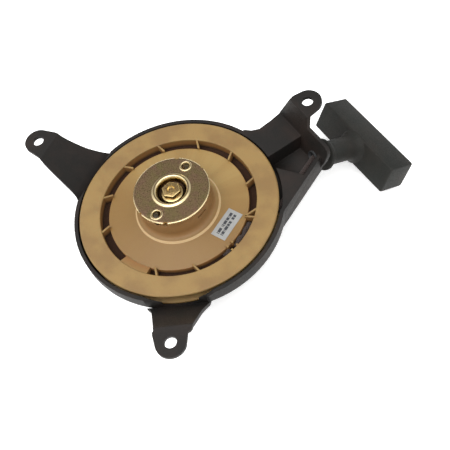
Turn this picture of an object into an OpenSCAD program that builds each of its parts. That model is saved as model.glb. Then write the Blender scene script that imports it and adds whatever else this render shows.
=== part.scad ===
// Recoil starter: a pressed pan on three arms holds a sprung rope reel with two pawls, and a T-handle on
// the rope. The origin is the centre of the ears' bolt circle, on the face that bolts to the engine, and
// +Z points along the reel's axis towards the engine. Every length is in millimetres.

/* [Mounting] */
// Diameter of the bolt circle through the three ears
bolt_circle_d = 255; // [205:0.5:310]
// Diameter of each ear's bolt hole
ear_hole_d = 9; // [7:0.1:11]
// Radius of each ear's round end
ear_r = 11.3; // [9:0.1:14]
// Drop from the ears' mounting face to the reel's top face
reel_drop = 24.5; // [20:0.5:30]
// Overall depth from the mounting face to the back of the dome
overall_depth = 78; // [74:0.5:94]
// Thickness of the pressed sheet
sheet_t = 3; // [2:0.1:3.6]

/* [Reel] */
// Outer diameter of the reel's flanges
reel_d = 160; // [150:1:192]
// Thickness of each reel flange
flange_t = 2.6; // [2:0.1:3.5]
// Width of the rope groove
groove_w = 9.4; // [9:0.1:12]
// Radius of the drum that the rope winds on
drum_r = 65; // [64:0.5:66]
// Outer radius of the ring of pockets
pocket_r = 62.9; // [60:0.1:63]
// Radial width of the pockets
pocket_w = 6.4; // [5:0.1:8]
// Depth of the pockets
pocket_depth = 9; // [6:0.5:10]
// Number of pockets round the reel
pocket_count = 12; // [8:1:16]
// Thickness of the ribs between pockets
rib_t = 1.5; // [1:0.1:2.5]
// Radius of the hub's wall
hub_r = 28.5; // [27.5:0.1:30]
// Thickness of the hub's wall
hub_wall = 3; // [2:0.1:4]

/* [Centre] */
// Diameter of the centre post
post_d = 18; // [16:0.5:20]
// Running clearance on radius between the post and the reel
run_c = 0.05; // [0.02:0.01:0.1]
// Diameter of the friction plate
plate_d = 60.2; // [56:0.1:66]
// Thickness of the friction plate
plate_t = 1.6; // [1.2:0.1:2]
// Height of the friction plate's top above the reel's top face
plate_rise = 20.8; // [18:0.1:22]
// Diameter of the centre bolt's thread
bolt_d = 8; // [6:1:8]
// Width across the flats of the centre bolt's head
bolt_af = 13; // [10:0.5:15]
// Height of the centre bolt's hexagon above its flange
bolt_head_h = 3.9; // [3:0.1:8]
// Thickness of the pawls
pawl_t = 4.6; // [3:0.1:5]

/* [Spring] */
// Width of the recoil spring's strip
spring_w = 20; // [14:0.5:24]
// Thickness of the recoil spring's strip
spring_t = 0.8; // [0.5:0.1:1.2]
// Turns of the recoil spring
spring_turns = 7; // [5:1:9]

/* [Rope and handle] */
// Diameter of the starter rope
rope_d = 4.6; // [4:0.1:4.6]
// Length of the handle's grip bar
grip_l = 87.4; // [72:0.1:105]
// Width of the grip bar along the pull
grip_w = 25; // [20:0.1:30]
// Height of the grip bar
grip_h = 25.2; // [21:0.1:27]
// Diameter of the handle's stem
stem_d = 20; // [16:0.5:22]
// Distance along the pull from the outlet to the grip bar's middle
grip_reach = 55.5; // [46:0.5:66]

/* [Hidden] */
$fn = 96;

gap = 0.3;
eps = 0.01;
far = 400;

// Heights
reel_z = -reel_drop;
rim_z = reel_z - 1.1;
groove_top_z = reel_z - flange_t;
groove_mid_z = groove_top_z - groove_w / 2;
groove_low_z = groove_top_z - groove_w;
reel_low_z = groove_low_z - flange_t + 0.5;
floor_z = reel_low_z - 1;
back_z = -overall_depth;
cup_floor_z = back_z + sheet_t;
plate_z = reel_z + plate_rise;
plate_low_z = plate_z - plate_t;
hub_top_z = plate_low_z - 0.6;
hub_floor_z = hub_top_z - pawl_t - 6.4;
disc_out_z = reel_z - 3.4;
disc_in_z = reel_z - 2.1;
disc_t = 3;

// Radii
reel_r = reel_d / 2;
pan_in_r = reel_r + 1.6;
pan_r = pan_in_r + sheet_t;
bolt_r = bolt_circle_d / 2;
pocket_in_r = pocket_r - pocket_w;
skirt_r = hub_r + 5.2;
post_r = post_d / 2;
boss_r = post_r + 7;
lower_flange_r = reel_r - 0.8;

// Arms: azimuth of each ear
ear_az = [150, 30, 270];
ear_fold_u = bolt_r - 12;
ramp_foot_u = pan_in_r + 0.2;
ramp_foot_z = reel_low_z + 0.4;
ramp_a = atan(-ramp_foot_z / (ear_fold_u - ramp_foot_u));

// Rope outlet on the arm at 30 degrees: an end wall across the arm, leaning outwards
outlet_az = ear_az[1];
wall_fold_u = bolt_r - 9.5;
wall_lean = 10;
wall_top_v = -37;
eyelet_z = groove_mid_z - 2;
eyelet_u = wall_fold_u + eyelet_z * tan(wall_lean);
eyelet_v = -25.1;
eyelet = [
  eyelet_u * cos(outlet_az) - eyelet_v * sin(outlet_az),
  eyelet_u * sin(outlet_az) + eyelet_v * cos(outlet_az),
  eyelet_z
];
eyelet_in_r = rope_d / 2 + 1.9;
eyelet_out_r = eyelet_in_r + 0.8;
eyelet_flange_r = eyelet_out_r + 0.7;

// Rope: it leaves the reel along a tangent to its mean winding radius and runs straight to the eyelet
rope_r = rope_d / 2;
pitch_r = drum_r + rope_d;
wound_r = drum_r + 2 * rope_d;
eyelet_dist = norm([eyelet.x, eyelet.y]);
rope_az = atan2(eyelet.y, eyelet.x) + asin(pitch_r / eyelet_dist);
tangent_az = rope_az - 90;
channel_in = pitch_r + rope_r + 3;
channel_out = channel_in + sheet_t;
rope_run = sqrt(eyelet_dist * eyelet_dist - pitch_r * pitch_r);
rope_free = sqrt(pow(wound_r + 1, 2) - pow(pitch_r - rope_r, 2));

// Handle: its stem points along the pull, and the grip bar is turned a little about it
pull_az = 33;
pull_el = -29.5;
grip_twist = 3;
pull = [cos(pull_el) * cos(pull_az), cos(pull_el) * sin(pull_az), sin(pull_el)];
stem_start = 8.4;
rope_bore_r = rope_r + 0.4;
knot_r = 4.6;
knot_at = grip_reach + 3.6;

// Pawls and their pivots
pawl_az = 190;
pawl_pivot_r = 19.4;
pawl_pin_r = 2.5;
pawl_top_z = hub_top_z + 0.3;
pawl_low_z = pawl_top_z - pawl_t;
pawl_tip_r = hub_r + 0.5;
pawl_tip_az = 245;
window_az = [208, 262];

// Recoil spring, in its case in the dome
cup_r = 60;
case_r = cup_r - 1.5;
case_t = 1.4;
post_flange_r = post_r + 12;
post_flange_t = 2;
spring_low_z = cup_floor_z + post_flange_t + 1.2;
spring_in_r = boss_r + 1.2;
spring_out_r = case_r - case_t - 5.2;

function polar(r, a) = [r * cos(a), r * sin(a)];
function arc(cx, cy, r, a0, a1, n = 12) =
  [for (i = [0 : n]) [cx + r * cos(a0 + (a1 - a0) * i / n), cy + r * sin(a0 + (a1 - a0) * i / n)]];

// An open outline with its corners cut twice as often each time, which turns it into a curve
function eased(p, n) =
  n == 0 ? p : eased([
    p[0],
    for (i = [0 : len(p) - 2]) each [0.75 * p[i] + 0.25 * p[i + 1], 0.25 * p[i] + 0.75 * p[i + 1]],
    p[len(p) - 1]
  ], n - 1);

// Rings of a round bar swept along points, each ring square to the path
function unit(v) = v / norm(v);
function along(p, i) = unit(p[min(i + 1, len(p) - 1)] - p[max(i - 1, 0)]);
function side_of(t) = unit(cross(t, abs(t.z) < 0.9 ? [0, 0, 1] : [1, 0, 0]));
function ring(c, t, r, n) =
  let (s = side_of(t), u = cross(t, s))
  [for (k = [0 : n - 1]) c + r * (cos(360 * k / n) * s + sin(360 * k / n) * u)];
module bar_along(p, r, n = 10) {
  rings = [for (i = [0 : len(p) - 1]) each ring(p[i], along(p, i), r, n)];
  last = (len(p) - 1) * n;
  sides = [
    for (i = [0 : len(p) - 2], k = [0 : n - 1])
      [i * n + k, (i + 1) * n + k, (i + 1) * n + (k + 1) % n, i * n + (k + 1) % n]
  ];
  start_cap = [[for (k = [0 : n - 1]) k]];
  end_cap = [[for (k = [0 : n - 1]) last + n - 1 - k]];
  polyhedron(concat(rings), concat(start_cap, sides, end_cap), convexity = 6);
}
module tube(r_out, r_in, z0, z1) {
  rotate_extrude() polygon([[r_in, z0], [r_out, z0], [r_out, z1], [r_in, z1]]);
}
module sector(r, a0, a1, z0, z1) {
  translate([0, 0, z0])
    linear_extrude(z1 - z0)
      polygon(concat([[0, 0]], [for (i = [0 : 8]) polar(r, a0 + (a1 - a0) * i / 8)]));
}
// Puts a shape's +Z along the rope's outlet wall normal, or along the pull, with its origin at the eyelet
module at_outlet() { translate(eyelet) rotate([0, 90 + wall_lean, outlet_az]) children(); }
module at_pull(s = 0) { translate(eyelet + s * pull) rotate([0, 90 - pull_el, pull_az]) children(); }

// ---- Housing ----

// Section of the pan and its dome, from the rim down to the back
module pan_section() {
  corner = 8;
  polygon(concat(
    [[pan_in_r, rim_z], [pan_r, rim_z]],
    arc(pan_r - corner, floor_z - sheet_t + corner, corner, 0, -90, 8),
    [[cup_r + 8, floor_z - sheet_t], [cup_r + sheet_t, floor_z - sheet_t - 5]],
    arc(cup_r + sheet_t - 10, back_z + 10, 10, 0, -90, 8),
    [[0, back_z], [0, cup_floor_z], [cup_r - 6, cup_floor_z], [cup_r, cup_floor_z + 6]],
    [[cup_r, floor_z - 5], [cup_r + 7, floor_z]],
    arc(pan_in_r - corner + sheet_t, floor_z + corner - sheet_t, corner - sheet_t, -90, 0, 6)
  ));
}
// Plan of an arm on +X: its own two edges, then the round ear
module arm_plan(edge_low, edge_high) {
  polygon(concat(edge_low, arc(bolt_r, 0, ear_r, -75, 75, 30), edge_high));
}
// A pressed ramp from the pan's floor up to a flat ear, as a slab wider than the arm
module ramp_slab() {
  inner = sheet_t * tan(ramp_a / 2);
  rotate([90, 0, 0])
    translate([0, 0, -60])
      linear_extrude(120)
        polygon([
          [ramp_foot_u - 3, ramp_foot_z - 3 * tan(ramp_a)], [ear_fold_u, 0], [bolt_r + 2 * ear_r, 0],
          [bolt_r + 2 * ear_r, -sheet_t], [ear_fold_u + inner, -sheet_t],
          [ramp_foot_u - 3, ramp_foot_z - 3 * tan(ramp_a) - sheet_t / cos(ramp_a)]
        ]);
}
// Everything above that ramp, to open the pan's wall at the arm
module ramp_space() {
  rotate([90, 0, 0])
    translate([0, 0, -60])
      linear_extrude(120)
        polygon([
          [ramp_foot_u - 3, ramp_foot_z - 3 * tan(ramp_a)], [ear_fold_u, 0], [ear_fold_u, 20],
          [ramp_foot_u - 3, 20]
        ]);
}
module plan_prism(edge_low, edge_high) {
  translate([0, 0, floor_z - sheet_t]) linear_extrude(far) arm_plan(edge_low, edge_high);
}
root_u = pan_r - 2.2;
neck_u = bolt_r - 9;
mid_u = (root_u + ear_fold_u) / 2;
a_low = [[root_u - 2, -33.4], [root_u + 2, -29.2], [root_u + 6, -25.4], [root_u + 11, -21.5], [mid_u, -17.7],
  [ear_fold_u - 3, -12.2], [neck_u, -12.6]];
a_high = [[neck_u, 13.2], [ear_fold_u - 2, 15.6], [mid_u, 18.2], [root_u + 8, 19.6], [root_u + 3, 23],
  [root_u - 2, 29]];
c_low = [[root_u - 2, -27.6], [root_u + 2, -23.2], [mid_u, -18], [ear_fold_u, -12.4], [neck_u, -12.2],
  [neck_u, -13.2], [neck_u + 3, -12.9]];
c_high = [[neck_u + 2.5, 12], [neck_u + 2, 13.8], [neck_u - 1, 15.8], [mid_u + 8, 16.5], [mid_u - 4, 17.2],
  [root_u - 2, 20.6]];

// The arm itself, its edges eased into curves and its root carried in under the pan's corner
module ramp_arm(az, low, high) {
  inner_low = [root_u - 12, low[0].y - 5];
  inner_high = [root_u - 12, high[len(high) - 1].y + 5];
  rotate([0, 0, az])
    intersection() {
      ramp_slab();
      translate([0, 0, floor_z - sheet_t])
        linear_extrude(far)
          arm_plan(eased(concat([inner_low], low), 2), eased(concat(high, [inner_high]), 2));
    }
}
module ramp_opening(az, low, high) {
  rotate([0, 0, az])
    intersection() {
      ramp_space();
      plan_prism(low, high);
    }
}
// Long shallow dip in the pan's rim, which lets the rim run down to an arm
module rim_scoop(az) {
  half = 27;
  deep = 6.5;
  r = (half * half + deep * deep) / (2 * deep);
  rotate([0, 0, az])
    translate([pan_in_r - 8, 0, rim_z + r - deep])
      rotate([0, 90, 0]) cylinder(r = r, h = 20, $fn = 180);
}
// Outline of the outlet's end wall, looking outwards: x is height along the wall, y is across the arm
module end_wall_outline() {
  low = (floor_z - sheet_t / 2) / cos(wall_lean);
  shelf = rim_z / cos(wall_lean);
  under = shelf - sheet_t * 0.6;
  polygon(concat(
    [[-0.5, -13.6], [-0.5, 11.2], [shelf - 0.4, 24.5], [under, 24.5], [under, -5], [low, -5]],
    [[low, -33], [low + 14, -39]],
    [[-19, -41.2]], arc(-16.5, wall_top_v + 0.8, 5, 270, 360, 6), [[-12, -13.8]]
  ));
}
module end_wall() {
  rotate([0, 0, outlet_az])
    translate([wall_fold_u, 0, 0])
      rotate([0, wall_lean, 0])
        rotate([0, 90, 0])
          mirror([1, 0, 0])
            linear_extrude(sheet_t)
              end_wall_outline();
}
// Plan of the rope channel: tangent wall, end wall and the wall under the shelf's crease
crease_v = -7;
wall_u = wall_fold_u + (rim_z - 6) * tan(wall_lean) + 1;
function arm_xy(u, v) =
  [u * cos(outlet_az) - v * sin(outlet_az), u * sin(outlet_az) + v * cos(outlet_az)];
function tangent_xy(d, t) =
  [d * cos(tangent_az) + t * cos(rope_az), d * sin(tangent_az) + t * sin(rope_az)];
// Distance along the tangent wall at which it meets the end wall, u across the arm
function tangent_t(d, u) = (u - d * cos(tangent_az - outlet_az)) / cos(rope_az - outlet_az);
module channel_plan(inset) {
  d = channel_out - inset;
  t0 = sqrt(pow(pan_r, 2) - pow(channel_out, 2));
  u = wall_u + eps;
  polygon([
    tangent_xy(d, t0 - 14), tangent_xy(d, tangent_t(d, u)), arm_xy(u, crease_v + sheet_t - inset),
    arm_xy(pan_in_r - 14, crease_v + sheet_t - inset)
  ]);
}
module channel_block(inset, z0, z1) {
  translate([0, 0, z0]) linear_extrude(z1 - z0) channel_plan(inset);
}
// Flat shelf at rim height, left of the crease, between the pan and the end wall
module shelf() {
  intersection() {
    translate([0, 0, rim_z - sheet_t])
      linear_extrude(sheet_t)
        rotate([0, 0, outlet_az])
          polygon([
            [pan_in_r - 12, crease_v + 1], [wall_u + 2.5, crease_v + 1], [wall_u + 2.5, 24.2],
            [mid_u + 4, 22], [root_u + 9, 21], [root_u + 3, 23.8], [root_u - 2, 29]
          ]);
    difference() {
      cylinder(r = far, h = far, center = true);
      cylinder(r = pan_in_r + sheet_t / 2, h = far, center = true, $fn = 180);
    }
  }
}
// Web that covers the rope where it leaves the reel
module web() {
  t0 = sqrt(pow(pan_r, 2) - pow(channel_out, 2));
  a0 = tangent_az + atan(t0 / channel_out) - 1;
  a1 = outlet_az - 14;
  translate([0, 0, rim_z - 2.4])
    linear_extrude(2.4)
      polygon(concat(
        [for (i = [0 : 8]) polar(pan_in_r + 1.2, a1 + (a0 - a1) * i / 8)],
        [tangent_xy(channel_out - 0.6, t0 + 1), tangent_xy(channel_out - 0.6, t0 + 36)]
      ));
}
module ear_b() {
  rotate([0, 0, outlet_az])
    translate([0, 0, -sheet_t])
      linear_extrude(sheet_t)
        arm_plan(
          [[wall_fold_u - 0.2, -13.3], [wall_fold_u + 3.4, -12.2]],
          [[wall_fold_u + 4, 12], [wall_fold_u - 0.2, 10.9]]
        );
}
module housing() {
  color("#2b2a27")
    difference() {
      union() {
        difference() {
          union() {
            rotate_extrude($fn = 180) pan_section();
            difference() {
              channel_block(0, floor_z - sheet_t, rim_z);
              channel_block(sheet_t, floor_z, rim_z + 1);
              translate([0, 0, floor_z - sheet_t / 2])
                cylinder(r = pan_in_r + sheet_t / 2, h = 60, $fn = 180);
              translate([0, 0, floor_z - sheet_t - 1]) cylinder(r = pan_in_r - 10, h = 60, $fn = 180);
            }
          }
          // open the pan's wall where the rope runs out and at the two ramps
          intersection() {
            channel_block(sheet_t, floor_z, rim_z + 1);
            translate([0, 0, floor_z]) cylinder(r = pan_r + 20, h = far);
          }
          ramp_opening(ear_az[0], a_low, a_high);
          ramp_opening(ear_az[2], c_low, c_high);
          rim_scoop(ear_az[2]);
        }
        ramp_arm(ear_az[0], a_low, a_high);
        ramp_arm(ear_az[2], c_low, c_high);
        shelf();
        web();
        end_wall();
        ear_b();
      }
      for (az = ear_az)
        rotate([0, 0, az]) translate([bolt_r, 0, -20]) cylinder(d = ear_hole_d, h = 40);
      at_outlet() translate([0, 0, -2]) rotate([0, 0, 90]) cylinder(r = eyelet_out_r + 0.05, h = sheet_t + 4);
    }
}

// ---- Centre post, spring and case ----
module centre_post() {
  top_z = dish_z - plate_t - 1.2;
  color("#9a9c9e")
    difference() {
      union() {
        translate([0, 0, cup_floor_z + 0.02]) cylinder(r = post_flange_r, h = post_flange_t);
        translate([0, 0, cup_floor_z + 0.02]) cylinder(r = post_r, h = top_z - cup_floor_z - 0.02);
      }
      translate([0, 0, top_z - 34]) cylinder(d = bolt_d + 0.1, h = 40);
    }
}
module spring_case() {
  color("#3a3d40")
    rotate_extrude()
      polygon([
        [post_flange_r + 0.4, cup_floor_z + 0.1], [cup_r - 7, cup_floor_z + 0.1],
        [case_r, cup_floor_z + 7.4], [case_r, spring_low_z + spring_w + 2.4],
        [case_r - case_t, spring_low_z + spring_w + 2.4], [case_r - case_t, cup_floor_z + 8],
        [cup_r - 8, cup_floor_z + 0.1 + case_t], [post_flange_r + 0.4, cup_floor_z + 0.1 + case_t]
      ]);
}
// Flat spiral strip, wound closer at its outer end
module recoil_spring() {
  steps = spring_turns * 20;
  function spiral_r(i) = spring_in_r + (spring_out_r - spring_in_r) * pow(i / steps, 0.8);
  color("#5b6068")
    translate([0, 0, spring_low_z])
      linear_extrude(spring_w)
        polygon(concat(
          [for (i = [0 : steps]) polar(spiral_r(i), i * 18)],
          [for (i = [steps : -1 : 0]) polar(spiral_r(i) + spring_t, i * 18)]
        ));
}
module spring_cover() {
  z = spring_low_z + spring_w + 2.45;
  color("#b9b29a") tube(case_r - 0.2, boss_r + 1, z, z + 1.2);
}

// ---- Reel and what rides on it ----
module reel_body_section() {
  low_z = cup_floor_z + post_flange_t + 0.7;
  // flanges, drum, disc, skirt and hub down to the lower boss
  polygon([
    [post_r + run_c, hub_floor_z], [hub_r - hub_wall, hub_floor_z], [hub_r - hub_wall, hub_top_z],
    [hub_r, hub_top_z], [hub_r, disc_in_z + 6.4], [hub_r + 1, disc_in_z + 3.6], [skirt_r - 1.6, disc_in_z + 1.3],
    [skirt_r, disc_in_z + 0.9], [skirt_r, disc_in_z], [pocket_in_r, disc_out_z],
    [pocket_in_r, reel_z - pocket_depth], [pocket_r, reel_z - pocket_depth], [pocket_r, reel_z - 0.8],
    [pocket_r + 0.6, reel_z], [reel_r - 0.8, reel_z], [reel_r, reel_z - 0.8], [reel_r, groove_top_z + 0.6],
    [reel_r - 0.8, groove_top_z], [drum_r, groove_top_z], [drum_r, groove_low_z],
    [lower_flange_r, groove_low_z], [lower_flange_r, reel_low_z], [pocket_in_r - 2.4, reel_low_z],
    [pocket_in_r - 2.4, disc_out_z - disc_t], [skirt_r, disc_in_z - disc_t],
    [boss_r + 3, disc_in_z - disc_t], [boss_r, disc_in_z - disc_t - 3], [boss_r, low_z],
    [post_r + run_c, low_z]
  ]);
}
module rib(az) {
  r0 = pocket_in_r - 1;
  r1 = pocket_r + 1;
  skew = 4;
  translate([0, 0, reel_z - pocket_depth - 0.5])
    linear_extrude(pocket_depth - 0.3)
      polygon([
        polar(r0, az - skew) + polar(rib_t / 2, az - 90), polar(r1, az) + polar(rib_t / 2, az - 90),
        polar(r1, az) + polar(rib_t / 2, az + 90), polar(r0, az - skew) + polar(rib_t / 2, az + 90)
      ]);
}
module pawl_place(k) { rotate([0, 0, 180 * k]) children(); }
module reel() {
  step = 360 / pocket_count;
  color("#c19a5b")
    difference() {
      union() {
        rotate_extrude($fn = 180) reel_body_section();
        // ribs between the pockets, one bay of which is filled in
        intersection() {
          union() {
            for (i = [0 : pocket_count - 1]) if (i != 10) rib(15 + step * i);
            rib(15 + step * 11 - 4);
            sector(pocket_r + 1, 224, 247, reel_z - pocket_depth - 0.5, reel_z - 1.2);
          }
          tube(pocket_r + 0.2, pocket_in_r - 0.2, reel_z - far, reel_z - 0.3);
        }
        for (k = [0, 1])
          pawl_place(k)
            translate([polar(pawl_pivot_r, pawl_az).x, polar(pawl_pivot_r, pawl_az).y, hub_floor_z - 1])
              cylinder(r = pawl_pin_r + 1.8, h = pawl_low_z - gap - hub_floor_z + 1);
      }
      for (k = [0, 1])
        pawl_place(k) {
          // pawl window, pivot hole and a slot for the pawl spring's leg
          difference() {
            sector(hub_r + 6, window_az[0], window_az[1], pawl_low_z - 0.6, hub_top_z + 5);
            cylinder(r = hub_r - hub_wall - 0.5, h = far, center = true);
          }
          translate([polar(pawl_pivot_r, pawl_az).x, polar(pawl_pivot_r, pawl_az).y, hub_floor_z - 1.5])
            cylinder(r = pawl_pin_r + run_c, h = 20, $fn = 48);
          difference() {
            sector(hub_r + 6, 310, 328, hub_floor_z + 1, hub_floor_z + 4.5);
            cylinder(r = hub_r - hub_wall - 0.5, h = far, center = true);
          }
        }
      // hole through the drum for the rope's end
      rotate([0, 0, anchor_az[0] - 3])
        translate([pocket_r - 3.4, 0, groove_mid_z + 0.4])
          rotate([0, 90, 40])
            cylinder(d = rope_d + 0.6, h = 10, $fn = 32);
    }
}
module reel_thrust_washer() {
  color("#c9c3b4") tube(post_r + 4.4, post_r + 0.1, hub_floor_z + 0.1, hub_floor_z + 1.2);
}
module rope_wound() {
  c = 0.1;
  color("#3b2a22")
    difference() {
      tube(wound_r, drum_r + c, groove_low_z + c, groove_top_z - c);
      // stays short of the stretch that dives through the drum
      sector(wound_r + 2, anchor_az[0] + 2, anchor_az[0] + 10, groove_low_z - 1, groove_top_z + 1);
    }
}
// The rope's end lies in one pocket and is knotted in the next
anchor_az = [337, 316];
anchor_z = reel_z - 5.4;
anchor_r = (pocket_in_r + pocket_r) / 2 + 0.1;
module rope_anchor() {
  n = 12;
  span = anchor_az[1] - anchor_az[0];
  color("#3b2a22")
    bar_along([
      for (i = [0 : n])
        concat(polar(anchor_r, anchor_az[0] + span * i / n), [anchor_z])
    ], rope_r, 10);
}
module rope_reel_knot() {
  a = anchor_az[1] - 5.2;
  color("#3b2a22")
    translate([anchor_r * cos(a), anchor_r * sin(a), anchor_z])
      sphere(r = pocket_w / 2 - 0.15, $fn = 32);
}
module reel_label() {
  label_l = 25.9;
  label_w = 12.6;
  color("#cfd2d6")
    intersection() {
      rotate_extrude($fn = 180)
        polygon([
          [skirt_r + 0.1, disc_in_z + 0.02], [pocket_in_r, disc_out_z + 0.02],
          [pocket_in_r, disc_out_z + 0.3], [skirt_r + 0.1, disc_in_z + 0.3]
        ]);
      rotate([0, 0, -30.4])
        translate([(skirt_r + pocket_in_r) / 2 - 0.9, 0, reel_z])
          rotate([0, 0, -4.7])
            cube([label_w, label_l, 20], center = true);
    }
}

// ---- Pawls ----
module pawl_plan() {
  p = polar(pawl_pivot_r, pawl_az);
  wall_r = hub_r - hub_wall;
  polygon(concat(
    arc(p.x, p.y, 4.2, 16, 196, 10),
    [polar(wall_r - 3.8, pawl_az + 27), polar(hub_r - 0.8, pawl_tip_az - 8), polar(pawl_tip_r, pawl_tip_az)],
    [polar(pawl_tip_r - 3.2, pawl_tip_az + 3), polar(wall_r - 4, pawl_tip_az - 5)],
    [polar(wall_r - 7.2, pawl_az + 32)]
  ));
}
module pawl(k) {
  color("#8d8a80")
    pawl_place(k) {
      translate([0, 0, pawl_low_z]) linear_extrude(pawl_t) pawl_plan();
      translate([polar(pawl_pivot_r, pawl_az).x, polar(pawl_pivot_r, pawl_az).y, hub_floor_z - 1])
        cylinder(r = pawl_pin_r, h = pawl_low_z - hub_floor_z + 1 + eps, $fn = 48);
    }
}
module coil(r, wire, z0, z1, turns, n = 6) {
  steps = round(turns * 16);
  bar_along([
    for (i = [0 : steps])
      [r * cos(360 * turns * i / steps), r * sin(360 * turns * i / steps), z0 + (z1 - z0) * i / steps]
  ], wire / 2, n);
}
module pawl_spring(k) {
  color("#a7a9ab")
    pawl_place(k)
      translate([polar(pawl_pivot_r, pawl_az).x, polar(pawl_pivot_r, pawl_az).y, 0])
        coil(pawl_pin_r + 2.4, 0.7, hub_floor_z + 0.6, pawl_low_z - 0.8, 3);
}

// ---- Friction parts and bolt ----
dish_z = plate_z - 4.3;
dish_r = 12;
module friction_plate() {
  ring_r = 13.2;
  color("#8f8462")
    difference() {
      rotate_extrude()
        polygon(concat(
          [[bolt_d / 2 + 0.1, dish_z - plate_t], [dish_r - 0.6, dish_z - plate_t]],
          [[dish_r + 0.8, plate_low_z], [plate_d / 2, plate_low_z], [plate_d / 2, plate_z]],
          [[ring_r + 1.4, plate_z]], arc(ring_r, plate_z, 1.2, 20, 160, 6),
          [[dish_r - 0.8, plate_z - 1], [dish_r - 1.6, dish_z], [bolt_d / 2 + 0.1, dish_z]]
        ));
      for (k = [0, 1])
        rotate([0, 0, 61 + 180 * k]) {
          translate([23.5, 0, plate_low_z - 1]) cylinder(r = 3.5, h = 5, $fn = 48);
          // stamped notches in the edge
          rotate([0, 0, 20])
            translate([plate_d / 2 + 0.4, 0, plate_low_z - 1]) cylinder(r = 2.1, h = 5, $fn = 32);
        }
    }
}
module friction_washer() {
  color("#b5b0a2") tube(post_r + 4, post_r - 2.2, dish_z - plate_t - 1.1, dish_z - plate_t - 0.1);
}
module friction_spring() {
  color("#a7a9ab")
    coil(post_r + 2.2, 1.1, hub_floor_z + 1.9, dish_z - plate_t - 1.8, 1.5, 8);
}
module centre_bolt() {
  flange_z = dish_z + 1.4;
  color("#c2a868")
    difference() {
      union() {
        translate([0, 0, dish_z - 24]) cylinder(d = bolt_d, h = 24 + 0.2);
        translate([0, 0, dish_z + 0.08]) cylinder(r = 8.6, h = 1.4);
        translate([0, 0, flange_z]) cylinder(d = bolt_af / cos(30), h = bolt_head_h, $fn = 6);
      }
      translate([0, 0, flange_z + bolt_head_h - 1.2]) cylinder(r = 2.9, h = 5, $fn = 48);
    }
}

// ---- Outlet, rope and handle ----
module outlet_eyelet() {
  t = sheet_t + 0.1;
  color("#3f4144")
    at_outlet()
      rotate_extrude()
        polygon(concat(
          [[eyelet_in_r + 1.4, t + 1.5], [eyelet_in_r, t], [eyelet_in_r, 0], [eyelet_in_r + 1.4, -1.6]],
          [[eyelet_flange_r, -1.6], [eyelet_flange_r, -0.1], [eyelet_out_r, -0.1], [eyelet_out_r, t]],
          [[eyelet_flange_r, t], [eyelet_flange_r, t + 1.5]]
        ));
}
// Free rope: along the tangent to the eyelet, then down the handle's stem to the knot
rope_dir = unit(eyelet - concat(tangent_xy(pitch_r, 0), [groove_mid_z]));
module rope_lead() {
  start_d = rope_run - rope_free;
  before = [for (d = [start_d, start_d * 0.75, start_d * 0.5, start_d * 0.25, 5]) eyelet - d * rope_dir];
  after = [for (d = [5, 12, 22, 32, 42, knot_at - knot_r - 0.05]) eyelet + d * pull];
  color("#3b2a22")
    bar_along(concat(before, [eyelet + 0.5 * (pull - rope_dir)], after), rope_r, 10);
}
module rope_handle_knot() {
  color("#3b2a22") at_pull(knot_at) sphere(r = knot_r, $fn = 32);
}
module handle_retainer() {
  color("#9a9c9e") at_pull(knot_at - knot_r - 1.2) tube(5.9, rope_bore_r, -1.2, 0.4);
}
// A box with its long edges and ends chamfered, centred on the origin
module chamfered_box(x, y, z, c) {
  module section(a, b) {
    polygon([
      [-a, c - b], [c - a, -b], [a - c, -b], [a, c - b], [a, b - c], [a - c, b], [c - a, b], [-a, b - c]
    ]);
  }
  intersection() {
    linear_extrude(z, center = true) section(x / 2, y / 2);
    rotate([90, 0, 0]) linear_extrude(y, center = true) section(x / 2, z / 2);
    rotate([0, 90, 0]) rotate([0, 0, 90]) linear_extrude(x, center = true) section(y / 2, z / 2);
  }
}
module handle_grip() {
  face = grip_reach - grip_w / 2;
  flare_l = 7;
  color("#26282a")
    difference() {
      union() {
        at_pull(grip_reach) rotate([0, 0, grip_twist]) chamfered_box(grip_h, grip_l, grip_w, 1.6);
        at_pull() {
          translate([0, 0, stem_start + 3]) cylinder(d = stem_d, h = face - stem_start - 2);
          translate([0, 0, stem_start]) cylinder(d = stem_d + 6, h = 3);
          translate([0, 0, face - flare_l]) cylinder(d1 = stem_d, d2 = stem_d + 6, h = flare_l + 1);
        }
      }
      at_pull() {
        cylinder(r = rope_bore_r, h = grip_reach + 20);
        translate([0, 0, knot_at - knot_r - 2.5]) cylinder(r = 6, h = 40);
      }
    }
}
module handle_plug() {
  z0 = knot_at + knot_r + 0.4;
  color("#26282a") at_pull() translate([0, 0, z0]) cylinder(r = 5.95, h = grip_reach + grip_w / 2 - z0 - 0.2);
}

housing();
centre_post();
outlet_eyelet();
spring_case();
recoil_spring();
spring_cover();
reel();
reel_thrust_washer();
rope_wound();
rope_anchor();
rope_reel_knot();
reel_label();
pawl(0);  // pawl_a
pawl(1);  // pawl_b
pawl_spring(0);  // pawl_spring_a
pawl_spring(1);  // pawl_spring_b
friction_spring();
friction_washer();
friction_plate();
centre_bolt();
rope_lead();
rope_handle_knot();
handle_retainer();
handle_grip();
handle_plug();
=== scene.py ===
"""Recoil starter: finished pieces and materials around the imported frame.

Blender's own units are metres, so lengths given in millimetres are multiplied by MM.
"""

import math

import bmesh
import bpy
from mathutils import Matrix, Vector


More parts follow.
